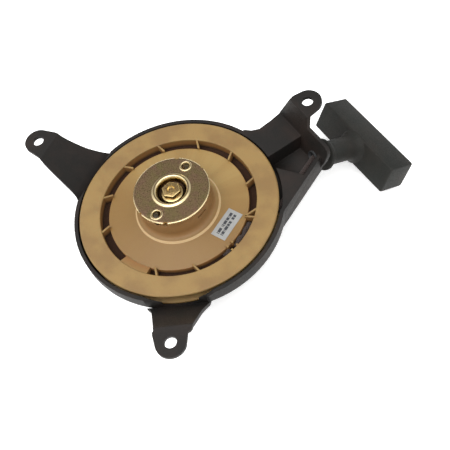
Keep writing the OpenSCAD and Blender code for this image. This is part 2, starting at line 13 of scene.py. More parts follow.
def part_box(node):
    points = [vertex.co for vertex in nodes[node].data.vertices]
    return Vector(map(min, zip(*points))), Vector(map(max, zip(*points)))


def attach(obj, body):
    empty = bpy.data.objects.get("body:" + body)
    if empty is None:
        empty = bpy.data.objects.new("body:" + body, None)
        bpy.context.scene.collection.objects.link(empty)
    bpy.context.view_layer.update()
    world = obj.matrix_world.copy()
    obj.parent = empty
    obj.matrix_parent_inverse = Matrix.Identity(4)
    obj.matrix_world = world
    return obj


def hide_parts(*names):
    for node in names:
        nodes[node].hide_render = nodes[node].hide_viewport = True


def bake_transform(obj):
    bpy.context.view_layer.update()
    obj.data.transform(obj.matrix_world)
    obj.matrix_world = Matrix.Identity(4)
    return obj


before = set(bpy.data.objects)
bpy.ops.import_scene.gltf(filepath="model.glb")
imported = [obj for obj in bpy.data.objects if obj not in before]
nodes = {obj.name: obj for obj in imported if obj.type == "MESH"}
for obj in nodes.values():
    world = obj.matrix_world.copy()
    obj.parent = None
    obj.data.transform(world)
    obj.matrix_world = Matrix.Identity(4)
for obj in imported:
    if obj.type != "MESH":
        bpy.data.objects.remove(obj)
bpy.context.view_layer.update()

MM = 0.001
FULL_TURN = math.radians(360)


# ---- Places taken from the frame ----


def top_of(node):
    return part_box(node)[1][2]


def low_of(node):
    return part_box(node)[0][2]


def outer_r(node):
    """Radius of a node that is round about the reel's axis."""
    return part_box(node)[1][0]


REEL_R = outer_r("reel")
PLATE_R = outer_r("friction_plate")
FLANGE_Z = low_of("rope_wound") + 9.2 * MM + 2.7 * MM
GROOVE_LOW_Z = low_of("rope_wound") - 0.1 * MM
GROOVE_TOP_Z = top_of("rope_wound") + 0.1 * MM
REEL_LOW_Z = GROOVE_LOW_Z - 2.1 * MM
HUB_TOP_Z = top_of("reel")
HUB_FLOOR_Z = low_of("reel_thrust_washer") - 0.1 * MM
BACK_Z = low_of("housing")

# Reel
DRUM_R = 65 * MM
POCKET_R = 62.9 * MM
POCKET_IN_R = 56.5 * MM
POCKET_DEPTH = 9 * MM
HUB_R = 28.5 * MM
HUB_IN_R = 25.5 * MM
SKIRT_R = 33.7 * MM
POST_R = 9.05 * MM
BOSS_R = 16 * MM
DISC_IN_Z = FLANGE_Z - 2.1 * MM
DISC_OUT_Z = FLANGE_Z - 3.4 * MM
PAWL_LOW_Z = top_of("pawl_a") - 4.6 * MM

# Rope and handle
ROPE_R = 2.3 * MM
PULL_AZ = math.radians(33)
PULL_EL = math.radians(-29.5)
PULL = Vector((
    math.cos(PULL_EL) * math.cos(PULL_AZ),
    math.cos(PULL_EL) * math.sin(PULL_AZ),
    math.sin(PULL_EL),
))


# ---- Making meshes ----


def polar(radius, degrees, z=0.0):
    a = math.radians(degrees)
    return Vector((radius * math.cos(a), radius * math.sin(a), z))


def spun(bm, section, start=0.0, sweep=360.0, steps=144, place=None):
    """Spins a closed section of (radius, height) points about Z, over a full turn or part of one."""
    before = set(bm.verts)
    verts = [bm.verts.new(polar(r, start, z)) for r, z in section]
    face = bm.faces.new(verts)
    geom = [face]
    if sweep >= 360:
        geom = list(face.edges)
        bmesh.ops.delete(bm, geom=[face], context="FACES_ONLY")
    bmesh.ops.spin(
        bm, geom=geom, cent=(0, 0, 0), axis=(0, 0, 1),
        angle=math.radians(sweep), steps=steps, use_merge=sweep >= 360,
    )
    fresh = [v for v in bm.verts if v not in before]
    if place is not None:
        bmesh.ops.transform(bm, matrix=place, verts=fresh)
    return fresh


def block(bm, size, place):
    """A box of the given size, put in place by a matrix."""
    made = bmesh.ops.create_cube(bm, size=1, matrix=place @ Matrix.Diagonal((*size, 1)))
    return made["verts"]


def round_edges(bm, width, segments=2, sharper_than=30.0, among=None):
    """Bevels the edges that turn by more than an angle."""
    edges = [
        e for e in bm.edges
        if len(e.link_faces) == 2
        and e.calc_face_angle(0) > math.radians(sharper_than)
        and (among is None or among(e))
    ]
    bmesh.ops.bevel(
        bm, geom=edges, offset=width, offset_type="OFFSET", affect="EDGES",
        segments=segments, profile=0.5, material=-1, clamp_overlap=True,
    )


def shade(mesh, sharp_above):
    for polygon in mesh.polygons:
        polygon.use_smooth = True
    mesh.set_sharp_from_angle(angle=math.radians(sharp_above))


def reopened(obj):
    """A bmesh of an object's mesh, for adding more to it."""
    bm = bmesh.new()
    bm.from_mesh(obj.data)
    bpy.data.objects.remove(obj)
    return bm


def finish_mesh(bm, name, material, sharp_above=40.0):
    """Turns a bmesh into an object with faces pointing outwards and smooth shading under an angle."""
    bmesh.ops.remove_doubles(bm, verts=bm.verts, dist=1e-6)
    bmesh.ops.dissolve_degenerate(bm, dist=1e-7, edges=bm.edges)
    bmesh.ops.recalc_face_normals(bm, faces=bm.faces)
    mesh = bpy.data.meshes.new(name)
    bm.to_mesh(mesh)
    bm.free()
    shade(mesh, sharp_above)
    mesh.materials.append(material)
    obj = bpy.data.objects.new(name, mesh)
    bpy.context.scene.collection.objects.link(obj)
    return obj


def cut_away(obj, tools, sharp_above=40.0):
    """Cuts closed tools out of an object for good, and throws the tools away."""
    for tool in tools:
        cut = obj.modifiers.new("cut", "BOOLEAN")
        cut.object, cut.operation, cut.solver = tool, "DIFFERENCE", "EXACT"
    depsgraph = bpy.context.evaluated_depsgraph_get()
    mesh = bpy.data.meshes.new_from_object(obj.evaluated_get(depsgraph))
    obj.modifiers.clear()
    obj.data = mesh
    shade(mesh, sharp_above)
    for tool in tools:
        bpy.data.objects.remove(tool)


def rod(name, radius, low, high, spot, material, segments=48):
    """An upright round tool for cutting."""
    bm = bmesh.new()
    middle = Vector((spot[0], spot[1], (low + high) / 2))
    bmesh.ops.create_cone(
        bm, cap_ends=True, segments=segments, radius1=radius, radius2=radius, depth=high - low,
        matrix=Matrix.Translation(middle),
    )
    return finish_mesh(bm, name, material)


def sweep(bm, path, radius, sides=16):
    """A round bar along a path of points; its UV map runs round the bar and along it, in metres."""
    uv = bm.loops.layers.uv.verify()
    normal = (path[1] - path[0]).orthogonal().normalized()
    rings, lengths, travelled = [], [], 0.0
    edges = None
    for i, point in enumerate(path):
        tangent = (path[min(i + 1, len(path) - 1)] - path[max(i - 1, 0)]).normalized()
        normal = (normal - tangent * normal.dot(tangent)).normalized()
        side = tangent.cross(normal)
        turns = [FULL_TURN * k / sides for k in range(sides)]
        spots = [point + radius * (math.cos(turn) * normal + math.sin(turn) * side) for turn in turns]
        if i == 0:
            ring = bmesh.ops.create_circle(bm, segments=sides, radius=radius)["verts"]
            edges = [bm.edges.get((ring[k], ring[(k + 1) % sides])) for k in range(sides)]
        else:
            travelled += (point - path[i - 1]).length
            old = rings[-1]
            made = bmesh.ops.extrude_edge_only(bm, edges=edges)["geom"]
            fresh = {v for v in made if isinstance(v, bmesh.types.BMVert)}
            ring = []
            for v in old:
                ring.append(next(e.other_vert(v) for e in v.link_edges if e.other_vert(v) in fresh))
            edges = [bm.edges.get((ring[k], ring[(k + 1) % sides])) for k in range(sides)]
        for v, spot in zip(ring, spots):
            v.co = spot
        rings.append(ring)
        lengths.append(travelled)
    where = {v: (k, i) for i, ring in enumerate(rings) for k, v in enumerate(ring)}
    for ring in (rings[0], rings[-1]):
        bm.faces.new(ring)
    around = FULL_TURN * radius
    for face in bm.faces:
        marks = [where.get(loop.vert) for loop in face.loops]
        if len(marks) != 4 or None in marks:
            continue
        wraps = {k for k, _ in marks} == {0, sides - 1}
        for loop, (k, i) in zip(face.loops, marks):
            turn = 1.0 if wraps and k == 0 else k / sides
            loop[uv].uv = (turn * around, lengths[i])


def copied(node):
    """A merged copy of a CAD node's mesh, with its flat areas made single faces."""
    bm = bmesh.new()
    bm.from_mesh(nodes[node].data)
    bmesh.ops.remove_doubles(bm, verts=bm.verts, dist=2e-6)
    bmesh.ops.dissolve_limit(bm, angle_limit=math.radians(0.5), verts=bm.verts, edges=bm.edges)
    return bm


def place(obj, body, slot, *replaced):
    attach(obj, body)
    if replaced:
        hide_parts(*replaced)


# ---- Making materials ----


# Places of a colour Mix node's sockets, because each name on it stands for several sockets
FACTOR, BELOW, ABOVE, MIXED = 0, 6, 7, 2
BEVEL_SAMPLES = 6


def rgb(text):
    """Linear colour of an sRGB hex value."""
    parts = [int(text[i : i + 2], 16) / 255 for i in (0, 2, 4)]
    return tuple(p / 12.92 if p <= 0.04045 else ((p + 0.055) / 1.055) ** 2.4 for p in parts) + (1.0,)


def add(tree, kind, out, inputs=None, **settings):
    """Adds a node, sets it up, links inputs that are given as sockets and gives back one of its outputs."""
    item = tree.nodes.new("ShaderNode" + kind)
    for name, value in settings.items():
        setattr(item, name, value)
    for name, value in (inputs or {}).items():
        if isinstance(value, bpy.types.NodeSocket):
            tree.links.new(value, item.inputs[name])
        else:
            item.inputs[name].default_value = value
    return item.outputs[out]


def new_material(name):
    material = bpy.data.materials.new(name)
    material.use_nodes = True
    tree = material.node_tree
    shader = next(n for n in tree.nodes if n.type == "BSDF_PRINCIPLED")
    return material, tree, shader


def grained(name, main, tint, patch_mm, grain_mm, height_mm, roughness, metallic=0.0, contrast=(0.35, 0.65),
            edge_mm=0.0, settings=None):
    """A finish of two colours in soft patches, with a fine grain that shapes both its bump and its gloss."""
    material, tree, shader = new_material(name)
    shader.inputs["Metallic"].default_value = metallic
    for key, value in (settings or {}).items():
        shader.inputs[key].default_value = value
    spot = add(tree, "TexCoord", "Object")
    patch = add(tree, "TexNoise", "Fac", {
        "Vector": spot, "Scale": 1 / (patch_mm * MM), "Detail": 5.0, "Roughness": 0.6,
    })
    spread = add(tree, "MapRange", "Result", {
        "Value": patch, "From Min": contrast[0], "From Max": contrast[1],
    })
    colour = add(tree, "Mix", MIXED, {FACTOR: spread, BELOW: rgb(main), ABOVE: rgb(tint)}, data_type="RGBA")
    grain = add(tree, "TexNoise", "Fac", {"Vector": spot, "Scale": 1 / (grain_mm * MM), "Detail": 3.0})
    gloss = add(tree, "MapRange", "Result", {
        "Value": grain, "From Min": 0.3, "From Max": 0.7, "To Min": roughness[0], "To Max": roughness[1],
    })
    bump_in = {"Height": grain, "Strength": 1.0, "Distance": height_mm * MM}
    if edge_mm:
        bump_in["Normal"] = add(tree, "Bevel", "Normal", {"Radius": edge_mm * MM}, samples=BEVEL_SAMPLES)
    tree.links.new(colour, shader.inputs["Base Color"])
    tree.links.new(gloss, shader.inputs["Roughness"])
    tree.links.new(add(tree, "Bump", "Normal", bump_in), shader.inputs["Normal"])
    return material


# Pressed steel, black powder coat: nearly black with warm brown dust and a faint orange peel
black_coat = grained(
    "powder_coated_steel_pressed", "191715", "271f1b", 28, 0.9, 0.05, (0.5, 0.68),
    contrast=(0.42, 0.72), edge_mm=0.7, settings={"Specular IOR Level": 0.22},
)
# Black rubber, moulded in a spark-eroded tool: dull, finely pitted, a little green-grey
rubber = grained(
    "rubber_black_moulded", "1b1c19", "24211d", 18, 0.8, 0.12, (0.55, 0.75),
    contrast=(0.4, 0.7), edge_mm=0.5, settings={"Specular IOR Level": 0.24},
)
# Turned mild steel: bright neutral grey, with the fine unevenness that a tool leaves
steel = grained("steel_turned", "a5a6a8", "8f9092", 6, 0.4, 0.01, (0.25, 0.4), metallic=1.0)
# Rolled spring steel: a darker blue-grey skin with brownish oil in patches
spring_steel = grained("spring_steel_rolled", "6d7078", "5a5852", 12, 0.5, 0.01, (0.3, 0.45), metallic=1.0)
# Zinc-plated sheet: warm pale grey with a faint spangle
zinc_sheet = grained("zinc_plated_sheet", "b7b2a4", "9c988d", 8, 1.2, 0.01, (0.3, 0.45), metallic=1.0)
# Black polyamide, moulded: charcoal with a satin skin, glossier than the rubber
dark_plastic = grained("polyamide_black_moulded", "2b2c2e", "343434", 15, 0.6, 0.03, (0.45, 0.6))
# Turned natural acetal: waxy off-white with a soft shine
acetal = grained("acetal_natural_turned", "cfc8b8", "c2bba9", 10, 0.5, 0.01, (0.35, 0.45))
# Sintered steel, oiled: dark brown-grey and speckled, with dull highlights, and darkened further as painted
# shade for where it lies under the plate
pawl_steel = grained("steel_sintered_oiled", "4c473e", "39342c", 4, 0.4, 0.02, (0.35, 0.5), metallic=1.0)


def braided_rope():
    """Braided polyester cord, dark brown: small slanted strands that catch the light on their backs, with
    painted light on their ridges and painted shade in the gaps between them.
    """
    material, tree, shader = new_material("polyester_cord_braided")
    shader.inputs["Sheen Weight"].default_value = 0.05
    shader.inputs["Roughness"].default_value = 0.75
    strand = 1.5 * MM
    # a sine wave texture repeats every 0.314 of its own units
    wave_scale = 0.314 / strand
    along = add(tree, "TexCoord", "UV")
    slants = []
    for tilt in (1, -1):
        lean = math.radians(52 * tilt)
        turned = add(tree, "Mapping", "Vector", {"Vector": along, "Rotation": (0, 0, lean)})
        slants.append(add(
            tree, "TexWave", "Fac", {"Vector": turned, "Scale": wave_scale}, wave_profile="SIN"
        ))
    ridges = add(tree, "Math", "Value", {0: slants[0], 1: slants[1]}, operation="MAXIMUM")
    fuzz = add(tree, "TexNoise", "Fac", {"Vector": along, "Scale": 1 / (0.6 * MM)})
    height = add(tree, "Math", "Value", {0: fuzz, 1: 0.35, 2: ridges}, operation="MULTIPLY_ADD")
    # painted shade in the gaps between strands and painted light on their ridges
    colour = add(tree, "Mix", MIXED, {
        FACTOR: ridges, BELOW: rgb("0c0807"), ABOVE: rgb("33241f"),
    }, data_type="RGBA")
    bump = add(tree, "Bump", "Normal", {"Height": height, "Distance": 0.5 * MM, "Strength": 1.0})
    tree.links.new(colour, shader.inputs["Base Color"])
    tree.links.new(bump, shader.inputs["Normal"])
    return material


rope_cord = braided_rope()


def printed_film():
    """Silver polyester film, printed: pale and smooth, with two rows of plain dark bars."""
    material, tree, shader = new_material("polyester_film_silver_printed")
    shader.inputs["Roughness"].default_value = 0.35
    low, high = (Vector(corner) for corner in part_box("reel_label"))
    rows = ((-1.9 * MM, 7.0), (1.5 * MM, 31.0))
    row_half, print_half, bar_width = 1.15 * MM, 10.2 * MM, 0.5 * MM
    # x runs across the label and y along it
    local = add(tree, "Mapping", "Vector", {
        "Vector": add(tree, "TexCoord", "Object"), "Location": tuple((low + high) / 2),
        "Rotation": (0, 0, math.radians(-35.1)),
    }, vector_type="TEXTURE")
    across, along = (add(tree, "SeparateXYZ", axis, {"Vector": local}) for axis in "XY")
    inked = add(tree, "Math", "Value", {
        0: add(tree, "Math", "Value", {0: along}, operation="ABSOLUTE"), 1: print_half,
    }, operation="LESS_THAN")
    bar = add(tree, "Math", "Value", {
        0: add(tree, "Math", "Value", {0: along, 1: bar_width}, operation="DIVIDE"),
    }, operation="FLOOR")
    dark = 0.0
    for row, seed in rows:
        from_row = add(tree, "Math", "Value", {0: across, 1: row}, operation="SUBTRACT")
        from_row = add(tree, "Math", "Value", {0: from_row}, operation="ABSOLUTE")
        in_row = add(tree, "Math", "Value", {0: from_row, 1: row_half}, operation="LESS_THAN")
        number = add(tree, "Math", "Value", {0: bar, 1: seed}, operation="ADD")
        chance = add(tree, "TexWhiteNoise", "Value", {"W": number}, noise_dimensions="1D")
        stroke = add(tree, "Math", "Value", {0: chance, 1: 0.24}, operation="GREATER_THAN")
        for mask in (in_row, inked):
            stroke = add(tree, "Math", "Value", {0: stroke, 1: mask}, operation="MULTIPLY")
        dark = add(tree, "Math", "Value", {0: dark, 1: stroke}, operation="MAXIMUM")
    mottle = add(tree, "TexNoise", "Fac", {"Scale": 1 / (4 * MM), "Vector": local})
    colour = rgb("949491")
    for amount, tone in ((mottle, "828280"), (dark, "2a2b30")):
        colour = add(tree, "Mix", MIXED, {FACTOR: amount, BELOW: colour, ABOVE: rgb(tone)}, data_type="RGBA")
    tree.links.new(colour, shader.inputs["Base Color"])
    return material


label_film = printed_film()


def moulded_nylon():
    """Natural nylon 6, injection moulded: amber, cloudy along the flow from the hub outwards, with painted
    shade down in the pockets, painted light on its far side and a painted highlight round the foot of the
    hub."""
    material, tree, shader = new_material("nylon_amber_moulded")
    shader.inputs["Subsurface Weight"].default_value = 0.06
    shader.inputs["Subsurface Scale"].default_value = 2 * MM
    shader.inputs["Specular IOR Level"].default_value = 0.35
    spot = add(tree, "TexCoord", "Object")
    x, y, z = (add(tree, "SeparateXYZ", axis, {"Vector": spot}) for axis in "XYZ")
    flat = add(tree, "CombineXYZ", "Vector", {"X": x, "Y": y})
    radius = add(tree, "VectorMath", "Value", {0: flat}, operation="LENGTH")
    spoke = add(tree, "VectorMath", "Vector", {0: flat}, operation="NORMALIZE")
    flow = add(tree, "TexNoise", "Fac", {"Vector": spoke, "Scale": 1.6, "Detail": 4.0, "Roughness": 0.62})
    # painted light: the far side, towards 70 degrees, is paler
    far_side = add(tree, "VectorMath", "Value", {0: spoke, 1: polar(1, 70)}, operation="DOT_PRODUCT")
    cloud = add(tree, "TexNoise", "Fac", {"Vector": spot, "Scale": 1 / (22 * MM), "Detail": 5.0})
    speck = add(tree, "TexNoise", "Fac", {"Vector": spot, "Scale": 1 / (1.1 * MM), "Detail": 3.0})

    # each mask rises from 0 to the last number as its measure goes from the first number to the second
    masks = {}
    for name, measure, start, end, most in (
        ("cloudy", cloud, 0.38, 0.66, 1.0),
        # painted light on the far side
        ("far_side_painted_light", far_side, -0.6, 0.9, 1.0),
        ("flow_line", flow, 0.36, 0.62, 0.4),
        ("flange", radius, POCKET_IN_R - 2 * MM, POCKET_IN_R + 4 * MM, 1.0),
        ("hub", radius, SKIRT_R - 1.5 * MM, SKIRT_R - 4.5 * MM, 1.0),
        # the painted highlight round the foot of the hub
        ("foot_highlight_inside", radius, SKIRT_R - 1 * MM, SKIRT_R - 0.3 * MM, 1.0),
        ("foot_highlight_outside", radius, SKIRT_R + 0.9 * MM, SKIRT_R + 0.3 * MM, 0.65),
        ("ring_inside", radius, POCKET_IN_R - 0.6 * MM, POCKET_IN_R, 1.0),
        ("ring_outside", radius, POCKET_R + 0.8 * MM, POCKET_R, 1.0),
        # depths below the flange, for the painted shade in the pockets
        ("under_flange", z, FLANGE_Z - 0.5 * MM, FLANGE_Z - 2.5 * MM, 1.0),
        ("far_under", z, FLANGE_Z - 4 * MM, FLANGE_Z - 8.8 * MM, 1.0),
        ("specked", speck, 0.62, 0.76, 0.3),
    ):
        masks[name] = add(tree, "MapRange", "Result", {
            "Value": measure, "From Min": start, "From Max": end, "To Max": most,
        }, interpolation_type="SMOOTHSTEP")
    for name, first, second in (
        # painted highlight round the foot of the hub
        ("foot", "foot_highlight_inside", "foot_highlight_outside"),
        ("ring", "ring_inside", "ring_outside"),
        # painted shade on the pocket walls, and deeper painted shade on their floors
        ("pocket_wall_painted_shade", "under_flange", "ring"),
        ("pocket_floor_painted_shade", "far_under", "ring"),
    ):
        masks[name] = add(tree, "Math", "Value", {0: masks[first], 1: masks[second]}, operation="MULTIPLY")

    flange = add(tree, "Mix", MIXED, {
        FACTOR: masks["cloudy"], BELOW: rgb("876d41"), ABOVE: rgb("7a603a"),
    }, data_type="RGBA")
    colour = rgb("785b2f")
    for name, tone in (
        # painted light, paler on the far side
        ("far_side_painted_light", rgb("957b4b")),
        ("flow_line", rgb("74552e")),
        ("flange", flange),
        ("hub", rgb("81603a")),
        # painted highlight: a brighter line round the foot of the hub
        ("foot", rgb("d0b489")),
        # painted shade in the pockets, darkest on their floors
        ("pocket_wall_painted_shade", rgb("7e5a33")),
        ("pocket_floor_painted_shade", rgb("2c190c")),
        ("specked", rgb("5f4527")),
    ):
        colour = add(tree, "Mix", MIXED, {FACTOR: masks[name], BELOW: colour, ABOVE: tone}, data_type="RGBA")
    gloss = add(tree, "MapRange", "Result", {
        "Value": speck, "From Min": 0.3, "From Max": 0.7, "To Min": 0.4, "To Max": 0.52,
    }, interpolation_type="SMOOTHSTEP")
    gloss = add(tree, "Math", "Value", {0: gloss, 1: masks["pocket_floor_painted_shade"]}, operation="MAXIMUM")
    bevel = add(tree, "Bevel", "Normal", {"Radius": 0.4 * MM}, samples=BEVEL_SAMPLES)
    bump = add(tree, "Bump", "Normal", {"Height": speck, "Distance": 0.04 * MM, "Normal": bevel})
    tree.links.new(colour, shader.inputs["Base Color"])
    tree.links.new(gloss, shader.inputs["Roughness"])
    tree.links.new(bump, shader.inputs["Normal"])
    return material


reel_nylon = moulded_nylon()


def chromated(name, main, tint, highlight_tone, patch_mm, roughness, dish_mm=0.0):
    """Yellow chromate on zinc: dull and mottled on the flats, with a painted pale gold highlight where it
    curves away.
    """
    material, tree, shader = new_material(name)
    shader.inputs["Metallic"].default_value = 1.0
    spot = add(tree, "TexCoord", "Object")
    patch = add(tree, "TexNoise", "Fac", {"Vector": spot, "Scale": 1 / (patch_mm * MM), "Detail": 5.0})
    speck = add(tree, "TexNoise", "Fac", {"Vector": spot, "Scale": 1 / (0.9 * MM), "Detail": 4.0})
    spread = add(tree, "MapRange", "Result", {"Value": patch, "From Min": 0.36, "From Max": 0.64})
    dull = add(tree, "MapRange", "Result", {
        "Value": speck, "From Min": 0.42, "From Max": 0.66, "To Max": 0.7,
    })
    # painted highlight: faces that turn away from straight up get a pale gold colour and more gloss
    upward = add(tree, "SeparateXYZ", "Z", {"Vector": add(tree, "TexCoord", "Normal")})
    curve_highlight = add(tree, "MapRange", "Result", {"Value": upward, "From Min": 0.985, "From Max": 0.8})
    layers = [(spread, tint), (dull, "362f20"), (curve_highlight, highlight_tone)]
    if dish_mm:
        # painted shade in the dish round the bolt
        level = add(tree, "VectorMath", "Vector", {0: spot, 1: (1, 1, 0)}, operation="MULTIPLY")
        radius = add(tree, "VectorMath", "Value", {0: level}, operation="LENGTH")
        inside = add(tree, "MapRange", "Result", {
            "Value": radius, "From Min": (dish_mm + 0.5) * MM, "From Max": (dish_mm - 0.5) * MM,
        })
        # painted shade, dark brown, inside the dish
        layers.append((inside, "30241a"))
    colour = rgb(main)
    for amount, tone in layers:
        colour = add(tree, "Mix", MIXED, {FACTOR: amount, BELOW: colour, ABOVE: rgb(tone)}, data_type="RGBA")
    gloss = add(tree, "MapRange", "Result", {"Value": curve_highlight, "To Min": roughness[0], "To Max": roughness[1]})
    bump = add(tree, "Bump", "Normal", {"Height": speck, "Distance": 0.05 * MM})
    tree.links.new(colour, shader.inputs["Base Color"])
    tree.links.new(gloss, shader.inputs["Roughness"])
    tree.links.new(bump, shader.inputs["Normal"])
    return material


# Stamped plate, thin chromate: olive with rose patches, a painted highlight where it curves away and painted
# shade in its dish
yellow_zinc = chromated(
    "zinc_yellow_chromated_steel_stamped", "796b49", "7d6350", "efdcae", 8, (0.42, 0.2), dish_mm=11.7
)
# Cold-headed bolt: thicker chromate, more gold, with a painted highlight where it curves away
bolt_zinc = chromated("zinc_yellow_chromated_steel_headed", "a98f5e", "8b7150", "d9c48f", 4, (0.34, 0.22))


# ---- Housing ----


def housing():
    bm = copied("housing")
    obj = finish_mesh(bm, "housing_pressing", black_coat, 32)
    place(obj, "housing", "black_coat", "housing")


# ---- Reel ----

WINDOW_AZ = (208, 262)
WINDOW_Z = PAWL_LOW_Z - 0.6 * MM
FILLED_AZ = (224, 247)
RIB_T = 1.5 * MM


def rib(bm, inner_az, outer_az, inner_r, outer_r, top):
    """A thin wall across the ring of pockets, whose two ends may lie at different azimuths."""
    start, end = polar(inner_r, inner_az), polar(outer_r, outer_az)
    low = FLANGE_Z - POCKET_DEPTH - 0.5 * MM
    middle = (start + end) / 2 + Vector((0, 0, (low + top) / 2))
    turn = math.atan2((end - start).y, (end - start).x)
    size = ((end - start).length, RIB_T, top - low)
    block(bm, size, Matrix.Translation(middle) @ Matrix.Rotation(turn, 4, "Z"))


def reel():
    bm = bmesh.new()
    disc_t, web_low = 3 * MM, DISC_IN_Z - 3 * MM
    pocket_low = FLANGE_Z - POCKET_DEPTH
    spun(bm, [
        (POST_R, HUB_FLOOR_Z), (HUB_IN_R, HUB_FLOOR_Z), (HUB_IN_R, WINDOW_Z), (HUB_R, WINDOW_Z),
        (HUB_R, DISC_IN_Z + 6.6 * MM), (HUB_R + 0.2 * MM, DISC_IN_Z + 5 * MM),
        (HUB_R + 0.8 * MM, DISC_IN_Z + 3.5 * MM), (HUB_R + 1.9 * MM, DISC_IN_Z + 2.2 * MM),
        (SKIRT_R - 1.7 * MM, DISC_IN_Z + 1.5 * MM), (SKIRT_R - 0.4 * MM, DISC_IN_Z + 1.3 * MM),
        (SKIRT_R, DISC_IN_Z + 0.9 * MM), (SKIRT_R + 0.3 * MM, DISC_IN_Z),
        (POCKET_IN_R, DISC_OUT_Z), (POCKET_IN_R, pocket_low), (POCKET_R, pocket_low),
        (POCKET_R, FLANGE_Z - 0.5 * MM), (POCKET_R + 0.5 * MM, FLANGE_Z), (REEL_R - 0.9 * MM, FLANGE_Z),
        (REEL_R, FLANGE_Z - 0.7 * MM), (REEL_R, GROOVE_TOP_Z + 0.6 * MM), (REEL_R - 0.8 * MM, GROOVE_TOP_Z),
        (DRUM_R, GROOVE_TOP_Z), (DRUM_R, GROOVE_LOW_Z), (REEL_R - 0.8 * MM, GROOVE_LOW_Z),
        (REEL_R - 0.8 * MM, REEL_LOW_Z), (POCKET_IN_R - 2.4 * MM, REEL_LOW_Z),
        (POCKET_IN_R - 2.4 * MM, DISC_OUT_Z - disc_t), (SKIRT_R, web_low), (BOSS_R + 3 * MM, web_low),
        (BOSS_R, web_low - 3 * MM), (BOSS_R, low_of("reel")), (POST_R, low_of("reel")),
    ], steps=180)
    round_edges(bm, 0.25 * MM, 2, 60)
    body = finish_mesh(bm, "reel_body", reel_nylon)
    slits = []
    for turn in (0, 180):
        slit = bmesh.new()
        block(slit, (10 * MM, 9 * MM, 2.6 * MM), Matrix.Rotation(math.radians(320 + turn), 4, "Z")
              @ Matrix.Translation((HUB_R, 0, HUB_FLOOR_Z + 2.8 * MM)))
        slits.append(finish_mesh(slit, "slit", reel_nylon))
    cut_away(body, slits)
    bm = reopened(body)
    # wall of the hub on either side of the two pawl windows
    foot = WINDOW_Z - 0.1 * MM
    for turn in (0, 180):
        spun(
            bm, [(HUB_IN_R, foot), (HUB_IN_R, HUB_TOP_Z), (HUB_R, HUB_TOP_Z), (HUB_R, foot)],
            WINDOW_AZ[1] + turn, 180 - (WINDOW_AZ[1] - WINDOW_AZ[0]), 50,
        )
    # bay that is filled in
    near, far, sunk = POCKET_IN_R - 0.2 * MM, POCKET_R + 0.2 * MM, pocket_low - 0.4 * MM
    spun(bm, [
        (near, sunk), (near, DISC_OUT_Z + 0.9 * MM), (far, FLANGE_Z - 1 * MM), (far, sunk),
    ], FILLED_AZ[0], FILLED_AZ[1] - FILLED_AZ[0], 12)
    top = FLANGE_Z - 0.7 * MM
    inner, outer = POCKET_IN_R - 0.6 * MM, POCKET_R + 0.6 * MM
    for step in range(12):
        az = 15 + 30 * step
        if az == 345:
            # two ribs that meet at their inner ends
            rib(bm, 341.2, 348.6, inner, outer, top)
            rib(bm, 340.8, 341.6, inner, outer, top)
        elif az == 315:
            # two pairs of teeth that pinch the rope
            for tooth in (316.5, 311.5):
                rib(bm, tooth, tooth, inner, POCKET_IN_R + 1.9 * MM, top)
                rib(bm, tooth + 0.5, tooth + 0.5, POCKET_R - 1.6 * MM, outer, top)
        elif not FILLED_AZ[0] < az < FILLED_AZ[1]:
            rib(bm, az - 3.6, az, inner, outer, top)
    obj = finish_mesh(bm, "reel_moulding", reel_nylon, 35)
    place(obj, "reel", "reel_plastic", "reel")


# ---- Friction plate and bolt ----

# The plate's flat face, with the collars standing above it, and the floor of its dish
PLATE_TOP_Z = top_of("friction_plate") - 1.2 * MM
DISH_Z = PLATE_TOP_Z - 4.3 * MM
HOLE_AZ = (61, 241)
HOLE_AT_R = 23.5 * MM


def friction_plate():
    top, dish = PLATE_TOP_Z, DISH_Z
    low = top - 1.6 * MM
    bm = bmesh.new()
    spun(bm, [
        (4.1 * MM, dish - 1.6 * MM), (11.2 * MM, dish - 1.6 * MM), (12.6 * MM, low - 1 * MM),
        (13.4 * MM, low),
        (PLATE_R - 0.5 * MM, low), (PLATE_R, low + 0.5 * MM), (PLATE_R, top - 0.7 * MM),
        (PLATE_R - 0.2 * MM, top - 0.25 * MM), (PLATE_R - 0.8 * MM, top), (PLATE_R - 2 * MM, top),
        (16.3 * MM, top), (15.7 * MM, top), (15.1 * MM, top + 0.25 * MM), (14.5 * MM, top + 0.8 * MM),
        (13.8 * MM, top + 1.15 * MM), (13 * MM, top + 1.1 * MM), (12.3 * MM, top + 0.5 * MM),
        (11.5 * MM, top - 0.9 * MM), (10.7 * MM, dish + 0.8 * MM), (9.6 * MM, dish), (4.1 * MM, dish),
    ], steps=128)
    obj = finish_mesh(bm, "plate_disc", yellow_zinc, 50)
    tools = []
    for az in HOLE_AZ:
        tools.append(rod("hole", 3.3 * MM, low - 1 * MM, top + 2 * MM, polar(HOLE_AT_R, az), yellow_zinc))
    for az, size in ((81, 2), (261, 2), (36, 1.5), (217, 1.5)):
        spot = polar(PLATE_R + 0.5 * MM, az)
        tools.append(rod("notch", size * MM, low - 1 * MM, top + 1 * MM, spot, yellow_zinc))
    cut_away(obj, tools, 50)
    bm = reopened(obj)
    for az in HOLE_AZ:
        # turned-up collar round each hole
        spun(bm, [
            (3.2 * MM, low - 0.1 * MM), (3.2 * MM, top + 0.1 * MM), (3.5 * MM, top + 0.55 * MM),
            (3.9 * MM, top + 0.75 * MM), (4.4 * MM, top + 0.7 * MM), (4.9 * MM, top + 0.3 * MM),
            (5.1 * MM, top - 0.2 * MM), (4.2 * MM, low - 0.1 * MM),
        ], steps=48, place=Matrix.Translation(polar(HOLE_AT_R, az)))
    for az in (32, 213):
        # burr pushed up beside the small notch
        burr = Matrix.Rotation(math.radians(az), 4, "Z") @ Matrix.Translation((PLATE_R - 0.9 * MM, 0, top))
        block(bm, (1 * MM, 2.2 * MM, 0.8 * MM), burr)
    obj = finish_mesh(bm, "friction_plate_pressed", yellow_zinc, 50)
    place(obj, "plate", "yellow_zinc", "friction_plate")


